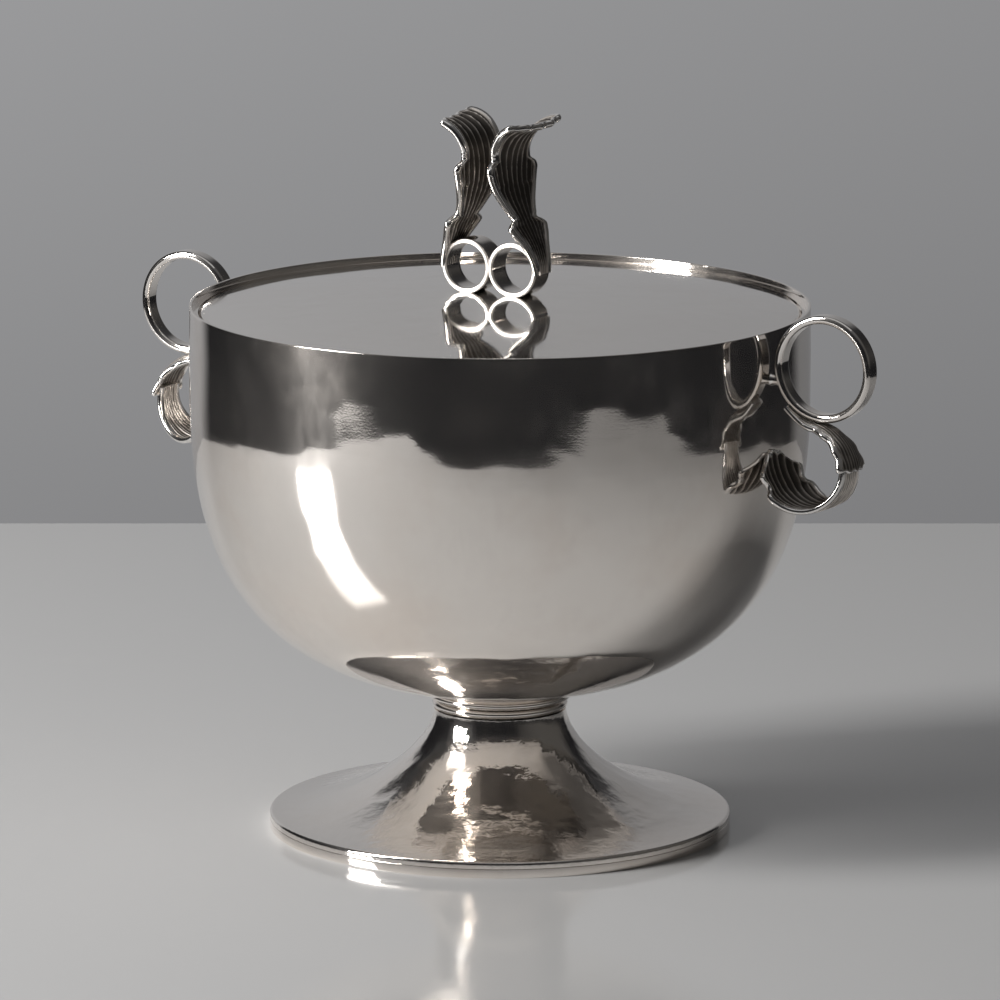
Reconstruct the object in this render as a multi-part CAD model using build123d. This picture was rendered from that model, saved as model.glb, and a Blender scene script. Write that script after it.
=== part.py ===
from build123d import *
import os
from math import cos, radians, sin, sqrt

# Footed silver sugar bowl with a loose lid, two ring-and-leaf handles and a ring-and-leaf finial.
# Millimetres, +Z up. The origin is the middle of the foot's underside, and the handles lie along X.

# Foot
foot_radius = 41.2        # outside of the flat edge
foot_height = 21.4        # from the table to the top of the trumpet
neck_radius = 11.8        # top of the trumpet
foot_wall = 1.2           # trumpet sheet
edge_height = 2.9         # from the table to the top of the foot's edge
edge_width = 2.4          # flat wire under the edge, measured radially
edge_fillet = 0.45        # rounding of the outside edge
neck_pull = 7.0           # how far the neck runs down before it flares
flare_pull = 17.5         # how far in the flat of the foot reaches
flare_rise = 2.2          # rise of the flat over that reach
neck_flare = 0.4          # outward lean of the neck over its pull

# Collar of two turned rings between foot and bowl
lower_collar_height = 1.8
lower_collar_radius = 12.1
upper_collar_height = 1.6
upper_collar_radius = 12.8
collar_bore = 7.0         # radius of the hole through both rings
collar_round = 0.35       # rounding of the rings' outside edges
saddle_height = 1.5       # room in which the upper ring meets the round bottom of the bowl

# Bowl
rim_radius = 55.0         # outside of the straight wall
bowl_depth = 69.7         # from the bottom of the bowl to the top of the rim
bowl_wall = 1.1
straight_depth = 18.0     # straight wall below the rim
belly_pull = 39.1         # how far the wall's direction carries down into the curve
base_pull = 33.2          # how far the base's direction carries out into the curve

# Rim wire
wire_width = 1.6
wire_height = 1.4
wire_fillet = 0.4

# Ledge inside the bowl and the lid that rests on it
lid_recess = 1.2          # lid edge below the top of the rim
lid_thickness = 1.1
lid_rise = 3.0            # height of the dome over its edge
lid_clearance = 0.35      # between the lid and the rim wire
seat_width = 2.6
seat_height = 1.0
flange_clearance = 0.35   # between the flange and the ledge
flange_wall = 1.0
flange_depth = 4.0

# Finial
finial_ring_radius = 4.9  # outside of each band
finial_ring_wall = 0.9
finial_ring_width = 5.0
finial_leaf_height = 25.9  # from the middle of the rings to the tip
finial_leaf_thickness = 1.2
finial_waist = 3.3        # each leaf's middle from the plane between them, at the waist
finial_waist_height = 17.9
finial_tip_reach = 8.2    # each tip from the plane between the leaves
finial_offset = 0.9       # the finial stands this far towards -X from the lid's middle
# Directions of the leaf's curves carry this far, as shares of the height or reach that each curve climbs
root_pull_share = 0.32
waist_pull_share = 0.42
curl_pull_share = 0.45
tip_reach_share = 0.30
tip_drop_share = 0.25
# Full widths at even steps from root to tip
finial_leaf_widths = [4.0, 5.4, 7.6, 10.4, 9.4, 10.4, 13.6, 16.0, 14.6, 13.4, 13.8, 14.4, 13.4]

# Handles
ring_radius = 9.4         # outside of the ring
ring_wall = 1.45
ring_width = 3.3
ring_fillet = 0.5
ring_gap = 1.2            # between the ring and the bowl's wall
ring_drop = 5.6           # middle of the ring below the top of the rim
peg_radius = 1.1
peg_drop = 2.9            # peg below the middle of the ring
leaf_thickness = 1.1
scroll_radius = 7.9       # middle of the scroll's curve
scroll_gap = 0.3          # between the scroll's curve and the bowl's wall
scroll_lift = 0.2         # overlap of the scroll's circle with the sheath leaf's under the ring
sheath_overlap = 14.0     # degrees by which the sheath leaf covers the scroll leaf
sheath_start = 226.0      # direction of the sheath leaf's root, seen from the ring's middle
sheath_leave = 262.0      # direction in which the sheath leaf leaves the ring
scroll_end = -158.0       # direction in which the scroll leaf leaves its curve for the bowl
tip_height = 0.9          # tip of the scroll leaf above the middle of the scroll
# Full widths at even steps from root to tip
sheath_widths = [3.6, 4.0, 4.4, 4.9, 5.6, 6.4, 7.4, 8.6, 9.6]
scroll_widths = [6.0, 6.6, 7.2, 8.0, 9.6, 11.8, 13.8, 15.4, 16.2, 16.2, 15.2, 13.4, 11.5]

# Fits
solder_sink = 0.15        # depth to which rounded pieces are filed flat where they are soldered
rounding_limit = 0.45     # largest rounding, as a share of a section's short side

bowl_base = foot_height + lower_collar_height + upper_collar_height
rim_top = bowl_base + bowl_depth
belly_top = rim_top - straight_depth
lid_edge_top = rim_top - lid_recess
lid_edge_bottom = lid_edge_top - lid_thickness
lid_top = lid_edge_top + lid_rise
lid_radius = rim_radius - wire_width - lid_clearance
seat_radius = rim_radius - bowl_wall
seat_inner = seat_radius - seat_width
flange_outer = seat_inner - flange_clearance
flange_inner = flange_outer - flange_wall


def turned(*outline):
    """A solid turned about Z from a closed outline of (radius, height) edges."""
    return revolve(Plane.XZ * make_face(Curve() + list(outline)), Axis.Z)


def turned_ring(inner, outer, bottom, top, rounding=0.0):
    """A ring of rectangular section, with its outside edges rounded when a rounding is given."""
    section = Pos((inner + outer) / 2, (bottom + top) / 2) * Rectangle(outer - inner, top - bottom)
    if rounding:
        largest = rounding_limit * min(outer - inner, top - bottom)
        section = fillet(section.vertices().sort_by(Axis.X)[2:], min(rounding, largest))
    return revolve(Plane.XZ * section, Axis.Z)


def bowl_curve(inset):
    """The belly from the straight wall to the bottom, moved inwards by inset."""
    radius = rim_radius - inset
    bottom = bowl_base + inset
    return Bezier(
        (radius, belly_top),
        (radius, belly_top - belly_pull),
        (base_pull, bottom),
        (0, bottom),
    )


def bowl_solid(inset, top):
    """The bowl's shape up to a height, as one filled solid."""
    radius = rim_radius - inset
    return turned(
        Line((0, top), (radius, top)),
        Line((radius, top), (radius, belly_top)),
        bowl_curve(inset),
        Line((0, bowl_base + inset), (0, top)),
    )


def bowl_radius_at(height):
    """The bowl's outside radius at a height on its belly or straight wall."""
    if height >= belly_top:
        return rim_radius
    curve = bowl_curve(0)
    low, high = 0.0, 1.0
    for _ in range(40):
        middle = (low + high) / 2
        if (curve @ middle).Y > height:
            low = middle
        else:
            high = middle
    return (curve @ low).X


def foot_curve(inset):
    """The trumpet's flare from the edge up to the neck, moved towards the hollow by inset."""
    return Bezier(
        (foot_radius, edge_height - inset),
        (foot_radius - flare_pull, edge_height + flare_rise - inset),
        (neck_radius + neck_flare - inset, foot_height - neck_pull - inset),
        (neck_radius - inset, foot_height),
    )


def strip(path, widths, thickness):
    """A leaf's blade: a flat bar that follows a path in the XZ plane, with its width given along it."""
    sections = []
    for index, width in enumerate(widths):
        along = index / (len(widths) - 1)
        place = Plane(path @ along, x_dir=(0, 1, 0), z_dir=path % along)
        sections.append(place * Rectangle(width, thickness))
    return loft(sections, ruled=True)


def path_xz(*edges):
    """A wire in the XZ plane from edges drawn as (x, z)."""
    return Plane.XZ * Wire(list(edges))


def around(centre, radius, start, end):
    """An arc about a centre, from one direction to another, in degrees."""
    middle = (start + end) / 2
    points = [
        (centre[0] + radius * cos(radians(a)), centre[1] + radius * sin(radians(a)))
        for a in (start, middle, end)
    ]
    return ThreePointArc(*points)


def cross_cylinder(radius, width, x, z):
    """A cylinder that lies along Y."""
    return Pos(x, 0, z) * Rot(90, 0, 0) * Cylinder(radius, width)


def make_foot():
    trumpet = turned(
        foot_curve(0),
        Line((neck_radius, foot_height), (neck_radius - foot_wall, foot_height)),
        foot_curve(foot_wall),
        Line((foot_radius, edge_height - foot_wall), (foot_radius, edge_height)),
    )
    edge = turned_ring(foot_radius - edge_width, foot_radius, 0, edge_height - foot_wall, edge_fillet)
    return {"foot_trumpet": trumpet, "foot_edge": edge - trumpet}


def make_collar():
    middle = foot_height + lower_collar_height
    lower = turned_ring(collar_bore, lower_collar_radius, foot_height, middle, collar_round)
    upper = turned_ring(collar_bore, upper_collar_radius, middle, bowl_base, collar_round)
    saddle = turned_ring(collar_bore, upper_collar_radius - collar_round, bowl_base, bowl_base + saddle_height)
    upper = upper + (saddle - bowl_solid(0, rim_top))
    return {"collar_lower": lower, "collar_upper": upper}


def make_bowl():
    wall_top = rim_top - wire_height
    body = bowl_solid(0, wall_top) - bowl_solid(bowl_wall, wall_top)
    wire = turned_ring(rim_radius - wire_width, rim_radius, wall_top, rim_top, wire_fillet)
    seat = turned_ring(seat_inner, seat_radius, lid_edge_bottom - seat_height, lid_edge_bottom)
    return {"bowl_body": body, "rim_wire": wire, "lid_seat": seat}


def lid_solid(rise):
    """The lid's outline filled down to its flat underside."""
    return turned(
        TangentArc((0, lid_edge_top + rise), (lid_radius, lid_edge_top), tangent=(1, 0)),
        Line((lid_radius, lid_edge_top), (lid_radius, lid_edge_bottom)),
        Line((lid_radius, lid_edge_bottom), (0, lid_edge_bottom)),
        Line((0, lid_edge_bottom), (0, lid_edge_top + rise)),
    )


def make_lid():
    inside = turned(
        TangentArc((0, lid_top - lid_thickness), (flange_inner, lid_edge_bottom), tangent=(1, 0)),
        Line((flange_inner, lid_edge_bottom), (0, lid_edge_bottom)),
        Line((0, lid_edge_bottom), (0, lid_top - lid_thickness)),
    )
    plate = lid_solid(lid_rise) - inside
    flange = turned_ring(flange_inner, flange_outer, lid_edge_bottom - flange_depth, lid_edge_bottom)
    return {"lid_plate": plate, "lid_flange": flange}


def make_finial():
    ring_x = finial_ring_radius - solder_sink
    ring_z = lid_top + finial_ring_radius - solder_sink
    band = cross_cylinder(finial_ring_radius, finial_ring_width, ring_x, ring_z)
    hole = cross_cylinder(finial_ring_radius - finial_ring_wall, 2 * finial_ring_width, ring_x, ring_z)
    beyond = Pos(-ring_x, 0, ring_z) * Box(2 * ring_x, 2 * finial_ring_width, 4 * finial_ring_radius)
    ring = band - hole - beyond

    root_x = ring_x + finial_ring_radius + finial_leaf_thickness / 2 - solder_sink
    waist_z = ring_z + finial_waist_height
    tip_z = ring_z + finial_leaf_height
    root_pull = root_pull_share * finial_waist_height
    waist_pull = waist_pull_share * finial_waist_height
    curl = tip_z - waist_z
    rise = Bezier(
        (root_x, ring_z),
        (root_x, ring_z + root_pull),
        (finial_waist, waist_z - waist_pull),
        (finial_waist, waist_z),
    )
    curl_out = Bezier(
        (finial_waist, waist_z),
        (finial_waist, waist_z + curl_pull_share * curl),
        (finial_waist + tip_reach_share * (finial_tip_reach - finial_waist), tip_z - tip_drop_share * curl),
        (finial_tip_reach, tip_z),
    )
    path = path_xz(rise, curl_out)
    leaf = strip(path, finial_leaf_widths, finial_leaf_thickness) - band
    parts = {}
    for side, turn in {"right": 0, "left": 180}.items():
        place = Pos(-finial_offset, 0, 0) * Rot(0, 0, turn)
        parts[f"finial_ring_{side}"] = place * ring - lid_solid(lid_rise)
        parts[f"finial_leaf_{side}"] = place * leaf
    return parts


def make_handle():
    ring_x = rim_radius + ring_gap + ring_radius
    ring_z = rim_top - ring_drop
    section = Pos(ring_radius - ring_wall / 2, 0) * Rectangle(ring_wall, ring_width)
    section = fillet(section.vertices(), min(ring_fillet, rounding_limit * ring_wall))
    ring = Pos(ring_x, 0, ring_z) * Rot(90, 0, 0) * revolve(Plane.XZ * section, Axis.Z)
    disc = cross_cylinder(ring_radius, 3 * ring_width, ring_x, ring_z)
    bowl = bowl_solid(0, rim_top)

    peg_z = ring_z - peg_drop
    peg_end = ring_x - sqrt(ring_radius**2 - peg_drop**2) + ring_wall / 2
    peg_start = rim_radius - bowl_wall
    peg = Pos((peg_start + peg_end) / 2, 0, peg_z) * Rot(0, 90, 0) * Cylinder(peg_radius, peg_end - peg_start)
    peg = peg - disc - bowl

    hug = ring_radius + leaf_thickness / 2 - solder_sink
    scroll = (
        rim_radius + scroll_gap + scroll_radius,
        ring_z - hug - scroll_radius + scroll_lift,
    )
    along_ring = around((ring_x, ring_z), hug, sheath_start, sheath_leave)
    outer = scroll_radius + leaf_thickness / 2
    falling = TangentArc(
        along_ring @ 1,
        (scroll[0] + outer, scroll[1]),
        tangent=along_ring % 1,
    )
    sheath_path = path_xz(along_ring, falling)
    sheath = strip(sheath_path, sheath_widths, leaf_thickness) - disc - bowl

    inner = scroll_radius - leaf_thickness / 2
    sweep = around(scroll, inner, sheath_overlap, scroll_end)
    tip_z = scroll[1] + tip_height
    tip_x = bowl_radius_at(tip_z) - solder_sink
    tip = Line(sweep @ 1, (tip_x, tip_z))
    scroll_path = path_xz(sweep, tip)
    wall = Pos(0, 0, tip_z) * Cylinder(bowl_radius_at(tip_z), 4 * scroll_radius)
    leaf = strip(scroll_path, scroll_widths, leaf_thickness) - wall - sheath
    return {"handle_ring": ring, "handle_peg": peg, "sheath_leaf": sheath, "scroll_leaf": leaf}


nodes = {**make_foot(), **make_collar(), **make_bowl(), **make_lid(), **make_finial()}
for name, piece in make_handle().items():
    nodes[name + "_right"] = piece
    nodes[name + "_left"] = Rot(0, 0, 180) * piece

os.makedirs("parts", exist_ok=True)
for name, piece in nodes.items():
    export_step(piece, f"parts/{name}.step")
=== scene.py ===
import bpy
import numpy as np
from bpy.props import FloatProperty, FloatVectorProperty, PointerProperty
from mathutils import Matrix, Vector


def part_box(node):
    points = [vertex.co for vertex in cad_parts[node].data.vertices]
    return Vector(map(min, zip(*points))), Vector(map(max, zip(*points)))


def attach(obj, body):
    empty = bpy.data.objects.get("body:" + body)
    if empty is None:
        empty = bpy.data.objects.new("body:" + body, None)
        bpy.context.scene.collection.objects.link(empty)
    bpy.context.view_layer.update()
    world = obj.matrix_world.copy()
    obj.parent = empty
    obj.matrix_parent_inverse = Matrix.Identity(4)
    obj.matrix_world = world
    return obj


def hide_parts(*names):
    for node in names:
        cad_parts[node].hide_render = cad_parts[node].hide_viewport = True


bl_info = {
    "name": "Silver Sugar Bowl",
    "version": (1, 0, 0),
    "blender": (4, 5, 0),
    "location": "3D View > Sidebar > Sugar Bowl",
    "description": "Covered silver sugar bowl with ring and leaf handles, built round its packed model",
    "category": "Add Mesh",
}

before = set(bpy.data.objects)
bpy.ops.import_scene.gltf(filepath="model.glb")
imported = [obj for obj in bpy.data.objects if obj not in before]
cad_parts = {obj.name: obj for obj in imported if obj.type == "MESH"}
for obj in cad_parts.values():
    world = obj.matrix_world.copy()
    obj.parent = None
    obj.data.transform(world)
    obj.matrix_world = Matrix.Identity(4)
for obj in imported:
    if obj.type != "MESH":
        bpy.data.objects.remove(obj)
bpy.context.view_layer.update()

MM = 0.001
SIDES = ("right", "left")
SHARP = np.radians(42.0)  # edges sharper than this are kept sharp in the shading


def size(name, description, default, **limits):
    """A length that a user may change, in metres."""
    return FloatProperty(
        name=name, description=description, default=default, unit="LENGTH", precision=5, **limits
    )


def share(name, description, default):
    """A number from 0 to 1."""
    return FloatProperty(
        name=name, description=description, default=default, min=0.0, max=1.0, subtype="FACTOR"
    )


def tint(name, description, default):
    """A colour."""
    return FloatVectorProperty(
        name=name, description=description, default=default, size=3, min=0.0, max=1.0, subtype="COLOR"
    )


class BowlShape(bpy.types.PropertyGroup):
    """Curves of the bowl and the foot, which their boxes don't give."""

    straight: size("Straight wall", "Depth of the straight wall under the rim", 18.0 * MM)
    belly_pull: size("Belly pull", "How far the wall's direction carries into the belly", 39.1 * MM)
    base_pull: size("Base pull", "How far the base's direction carries out into the belly", 33.2 * MM)
    wall: size("Wall", "Thickness of the bowl", 1.1 * MM)
    foot_wall: size("Foot wall", "Thickness of the foot", 1.2 * MM)
    neck_radius: size("Neck radius", "Radius of the top of the foot", 11.8 * MM)
    neck_pull: size("Neck pull", "How far the neck runs down before it flares", 7.0 * MM)
    neck_flare: size("Neck flare", "Outward lean of the neck over its pull", 0.4 * MM)
    flare_pull: size("Flare pull", "How far in the flat of the foot reaches", 17.5 * MM)
    flare_rise: size("Flare rise", "Rise of the flat over that reach", 2.2 * MM)
    foot_turn: size("Foot turn", "Rounding of the foot's upper edge", 0.55 * MM)
    foot_wire: size("Foot wire", "Width of the flat wire under the foot's edge", 2.4 * MM)
    collar_bore: size("Collar bore", "Radius of the hole through the collars", 7.0 * MM)
    collar_height: size("Collar height", "Height of the upper collar's outside", 1.6 * MM)
    rim_wire: size("Rim wire", "Width of the rim wire", 1.6 * MM)
    rim_lip: size("Rim lip", "Width of the wire's top", 0.55 * MM)
    rim_soft: size("Rim soft", "Rounding of the wire's top", 0.12 * MM)
    lid_wall: size("Lid wall", "Thickness of the lid", 1.1 * MM)
    lid_soft: size("Lid soft", "Rounding of the lid's edge", 0.35 * MM)


class FinialShape(bpy.types.PropertyGroup):
    """Bands and leaves on the lid."""

    wall: size("Wall", "Thickness of the bands", 0.9 * MM)
    band_soft: size("Band soft", "Rounding of the bands' edges", 0.3 * MM)
    root: size("Root", "Distance of a leaf's root from the plane between the leaves", 9.35 * MM)
    root_drop: size("Root drop", "Height by which the root starts below the bands' middle", 0.5 * MM)
    waist: size("Waist", "Distance of a leaf's waist from the plane between the leaves", 3.3 * MM)
    waist_rise: size("Waist rise", "Height of the waist over the bands' middle", 17.9 * MM)
    leaf_edge: size("Leaf edge", "Thickness of the cast leaf", 1.3 * MM)
    leaf_inset: size("Leaf inset", "Part of the half width that the round edge takes", 0.4 * MM)


class HandleShape(bpy.types.PropertyGroup):
    """Rings and leaves on the bowl's sides."""

    wall: size("Wall", "Thickness of the rings", 1.45 * MM)
    scroll_x: size("Scroll place", "Distance of the scroll's middle from the bowl's axis", 63.2 * MM)
    scroll_z: size("Scroll height", "Height of the scroll's middle", 71.4 * MM)
    scroll_curve: size("Scroll curve", "Radius on which the scroll leaf's sheet lies", 7.35 * MM)
    scroll_tip: size("Scroll tip", "Height of the scroll leaf's tip", 73.6 * MM)
    scroll_edge: size("Scroll edge", "Thickness of the scroll leaf", 1.0 * MM)
    sheath_reach: size("Sheath reach", "Distance of the sheath leaf's end from the bowl's axis", 71.65 * MM)
    sheath_edge: size("Sheath edge", "Thickness of the sheath leaf", 0.95 * MM)
    leaf_inset: size("Leaf inset", "Part of the half width that the round edge takes", 0.35 * MM)


class HammerMarks(bpy.types.PropertyGroup):
    """Marks that the planishing hammer leaves."""

    bowl_blow: size("Bowl blow", "Distance between the blows on the bowl", 7.0 * MM)
    bowl_depth: size("Bowl depth", "Height of the ridges between the blows on the bowl", 0.012 * MM)
    bowl_wave: size("Bowl wave", "Slow unevenness of the bowl", 0.050 * MM)
    foot_blow: size("Foot blow", "Distance between the blows on the foot", 4.6 * MM)
    foot_depth: size("Foot depth", "Height of the ridges between the blows on the foot", 0.026 * MM)
    foot_wave: size("Foot wave", "Slow unevenness of the foot", 0.075 * MM)


class SilverFinish(bpy.types.PropertyGroup):
    """Colours and polish of the silver."""

    silver: tint("Silver", "Clean polished silver", (0.93, 0.905, 0.875))
    tarnish: tint("Tarnish", "Warm film on old silver", (0.86, 0.76, 0.67))
    leaf: tint("Leaf", "Ridges of the leaves, silver that is less often polished", (0.74, 0.69, 0.64))
    oxide: tint("Oxide", "Dark film in the leaves' flutes", (0.045, 0.038, 0.032))
    polish: share("Polish", "Roughness of the best polished places", 0.045)
    haze: share("Haze", "Roughness that rubbing and handling add", 0.12)
    veil: share("Veil", "How much of the light a dull veil scatters widely", 0.13)


class StudioSettings(bpy.types.PropertyGroup):
    """Camera, table and light."""

    azimuth: FloatProperty(
        name="Azimuth", description="Camera's direction round the bowl", default=0.5393, subtype="ANGLE"
    )
    pitch: FloatProperty(
        name="Pitch", description="How far the camera looks down", default=0.1985, subtype="ANGLE"
    )
    distance: size("Distance", "Camera's distance from the bowl's axis", 1.3695)
    height: size("Height", "Camera's height over the table", 0.33446)
    lens: FloatProperty(name="Lens", description="Focal length in millimetres", default=282.9)
    table_back: size("Table back", "Table's edge behind the bowl", 0.268)
    table_front: size("Table front", "Table's edge in front of the bowl", 0.395)
    table_left: size("Table left", "Table's edge left of the bowl", 0.405)
    table_right: size("Table right", "Table's edge right of the bowl", 0.405)
    table_corner: size("Table corner", "How much of each corner is cut off", 0.15)
    table: tint("Table", "Glossy white table", (0.475, 0.475, 0.475))
    backdrop: tint("Backdrop", "Light on the backdrop", (0.31, 0.31, 0.316))
    side_wall: tint("Side wall", "The dim wall on the right", (0.10, 0.096, 0.090))
    room: tint("Room", "The dark room behind the camera", (0.010, 0.010, 0.011))
    ceiling: tint("Ceiling", "The dim ceiling", (0.16, 0.16, 0.165))
    key: FloatProperty(name="Key light", description="Power in watts", default=19.5)
    key_height: FloatProperty(name="Key height", description="Angle over the table", default=0.54)
    key_away: size("Key distance", "Distance of the key light", 1.1)
    key_wide: size("Key width", "Width of the key light", 0.29)
    key_tall: size("Key length", "Length of the key light", 0.78)
    fill: FloatProperty(name="Fill light", description="Power in watts", default=2.6)
    fill_size: size("Fill size", "Width and length of the fill light", 1.6)
    fill_height: size("Fill height", "Height of the fill light over the table", 1.9)


# Shader maths


class Signal:
    """A value that changes over a surface. Python arithmetic on it adds Math nodes to its tree."""

    def __init__(self, book, socket):
        self.book = book
        self.socket = socket

    def combine(self, operation, first, second=None):
        sockets = {0: first} if second is None else {0: first, 1: second}
        return self.book.add("ShaderNodeMath", {"operation": operation}, sockets)

    def __add__(self, other):
        return self.combine("ADD", self, other)

    def __radd__(self, other):
        return self.combine("ADD", other, self)

    def __sub__(self, other):
        return self.combine("SUBTRACT", self, other)

    def __rsub__(self, other):
        return self.combine("SUBTRACT", other, self)

    def __mul__(self, other):
        return self.combine("MULTIPLY", self, other)

    def __rmul__(self, other):
        return self.combine("MULTIPLY", other, self)

    def __pow__(self, other):
        return self.combine("POWER", self, other)


class NodeBook:
    """Adds nodes to one tree."""

    def __init__(self, tree):
        self.tree = tree
        self.tree.nodes.clear()

    def add(self, kind, settings=None, sockets=None, output=0):
        """A node of a type, with its settings set first and then its sockets, given by name or number."""
        node = self.tree.nodes.new(kind)
        for key, value in (settings or {}).items():
            if key == "stops":
                for place, (position, shade) in enumerate(value):
                    stops = node.color_ramp.elements
                    stop = stops[place] if place < 2 else stops.new(position)
                    stop.position = position
                    stop.color = (*shade, 1.0) if hasattr(shade, "__len__") else (shade, shade, shade, 1.0)
            else:
                setattr(node, key, value)
        for key, value in (sockets or {}).items():
            socket = node.inputs[key]
            if isinstance(value, Signal):
                self.tree.links.new(value.socket, socket)
            elif socket.type == "RGBA":
                socket.default_value = (*value, 1.0)
            else:
                socket.default_value = value
        return Signal(self, node.outputs[output]) if node.outputs else None

    def mix(self, factor, first, second):
        """A colour between two colours."""
        settings = {"data_type": "RGBA"}
        return self.add("ShaderNodeMix", settings, {0: factor, 6: first, 7: second}, 2)

    def noise(self, place, scale, detail=2.0, roughness=0.5):
        sockets = {"Vector": place, "Scale": scale, "Detail": detail, "Roughness": roughness}
        return self.add("ShaderNodeTexNoise", {}, sockets)

    def ramp(self, value, low, high):
        """0 below low, 1 above high, smooth between."""
        settings = {"interpolation_type": "SMOOTHSTEP"}
        return self.add("ShaderNodeMapRange", settings, {0: value, 1: low, 2: high})

    def stretched(self, place, scales):
        """A place with each of its axes scaled."""
        return self.add("ShaderNodeMapping", {}, {"Vector": place, "Scale": scales})


def new_material(name):
    material = bpy.data.materials.new(name)
    material.use_nodes = True
    return material, NodeBook(material.node_tree)


def metal(book, colour, roughness, bump, brushed=0.0):
    """Bare metal, with what changes over it on its colour, roughness and normal.

    brushed spreads its gleams across lines that run round Z."""
    sockets = {"Base Color": colour, "Metallic": 1.0, "Roughness": roughness, "Normal": bump}
    sockets |= {"Anisotropic": brushed, "Anisotropic Rotation": 0.25}
    return book.add("ShaderNodeBsdfPrincipled", {}, sockets)


def polished_silver(name, finish, streaks, haze=1.0, warmth=0.5, waves=0.0, brushed=0.0):
    """Mirror silver with polishing lines, rubbed haze, a dull veil and a faint warm film.

    streaks scales the polishing lines along X, Y and Z, so a small number is the way they run. haze, warmth
    and waves say how much there is of the haze, of the film and of fine unevenness. brushed spreads the
    veil's gleams across lines that run round Z."""
    material, book = new_material(name)
    place = book.add("ShaderNodeTexCoord", output=3)
    cloud = book.noise(place, 34.0, 4.0, 0.6)
    smear = book.noise(book.stretched(place, (1.0, 1.0, 0.45)), 110.0, 5.0, 0.65)
    lines = book.noise(book.stretched(place, streaks), 1.0, 2.0, 0.6)
    pits = book.noise(place, 2600.0, 1.0)
    filed = book.add("ShaderNodeAttribute", {"attribute_name": "filed"}, output=2)
    film = book.ramp(cloud, 0.38, 0.75)
    rubbed = book.ramp(smear, 0.45, 0.75)
    colour = book.mix(warmth * (0.45 + 0.55 * film), tuple(finish.silver), tuple(finish.tarnish))
    roughness = finish.polish + finish.haze * haze * (0.5 * rubbed * film + 0.2 * film + 0.1 * lines)
    height = 0.12 * lines + 0.2 * pits + waves * book.noise(place, 520.0, 3.0, 0.6)
    bump = book.add("ShaderNodeBump", {}, {"Strength": 0.035, "Distance": 0.0002, "Height": height})
    mirror = metal(book, colour, roughness + 0.36 * filed, bump)
    dull_roughness = 0.40 if brushed else 0.31
    dull = metal(book, colour, dull_roughness, bump, brushed)
    veil = finish.veil * haze * (0.35 + 0.9 * film + 0.6 * rubbed)
    shader = book.add("ShaderNodeMixShader", {}, {0: veil, 1: mirror, 2: dull})
    book.add("ShaderNodeOutputMaterial", {}, {"Surface": shader})
    return material


def oxidised_silver(name, finish):
    """Silver leaf that is dark in its flutes and rubbed brighter on its ridges and edges."""
    material, book = new_material(name)
    place = book.add("ShaderNodeTexCoord", output=3)
    hollow = book.add("ShaderNodeAttribute", {"attribute_name": "hollow"}, output=2)
    grain = book.noise(place, 420.0, 5.0, 0.65)
    fine = book.noise(place, 3000.0, 2.0)
    face = book.ramp(hollow, 0.02, 0.24)
    dirt = book.ramp(hollow + 0.35 * (grain - 0.5), 0.30, 0.85)
    ridge = book.mix(face, tuple(finish.silver), tuple(finish.leaf))
    colour = book.mix(0.92 * dirt, ridge, tuple(finish.oxide))
    roughness = 0.13 + 0.30 * face + 0.06 * grain
    bump = book.add(
        "ShaderNodeBump", {}, {"Strength": 0.12, "Distance": 0.0002, "Height": 0.7 * grain + 0.3 * fine}
    )
    shader = metal(book, colour, roughness, bump)
    book.add("ShaderNodeOutputMaterial", {}, {"Surface": shader})
    return material


def finish_for(kind):
    """The material for one kind of surface, made once."""
    found = bpy.data.materials.get(kind)
    if found:
        return found
    finish = bpy.context.scene.bowl_finish
    if kind == "silver_turned":
        return polished_silver(kind, finish, (70.0, 70.0, 2400.0), haze=1.0, warmth=0.6, brushed=0.75)
    if kind == "silver_lid":
        return polished_silver(kind, finish, (1500.0, 160.0, 160.0), haze=0.6, warmth=0.12)
    if kind == "silver_hammered":
        around = (90.0, 90.0, 1500.0)
        return polished_silver(kind, finish, around, haze=0.4, warmth=0.45, waves=13.0, brushed=0.5)
    if kind == "silver_bright":
        return polished_silver(kind, finish, (400.0, 1800.0, 400.0), haze=0.6, warmth=0.35)
    return oxidised_silver(kind, finish)


# Surfaces


def signed_volume(points, triangles):
    """Volume inside a closed mesh, negative when its faces point inwards."""
    a, b, c = (points[triangles[:, i]] for i in range(3))
    return float(np.einsum("ij,ij->i", a, np.cross(b, c)).sum() / 6.0)


def link_mesh(name, points, faces, attributes=None):
    """A smoothly shaded mesh object at the origin, with a value at each point for each attribute."""
    mesh = bpy.data.meshes.new(name)
    mesh.from_pydata(points.tolist(), [], faces)
    for key, values in (attributes or {}).items():
        layer = mesh.attributes.new(key, "FLOAT", "POINT")
        layer.data.foreach_set("value", values.astype(np.float32))
    mesh.shade_smooth()
    mesh.set_sharp_from_angle(angle=SHARP)
    piece = bpy.data.objects.new(name, mesh)
    bpy.context.scene.collection.objects.link(piece)
    return piece


def add_piece(name, points, quads, caps=(), attributes=None):
    """A mesh object at the origin from a point array, an array of quads and end caps of many points."""
    fans = [np.stack([np.full(len(c) - 2, c[0]), c[1:-1], c[2:]], 1) for c in caps]
    triangles = np.concatenate([quads[:, [0, 1, 2]], quads[:, [0, 2, 3]], *fans])
    if signed_volume(points, triangles) < 0:
        quads = quads[:, ::-1]
        caps = [c[::-1] for c in caps]
    faces = quads.tolist() + [list(map(int, c)) for c in caps]
    return link_mesh(name, points, faces, attributes)


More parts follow.
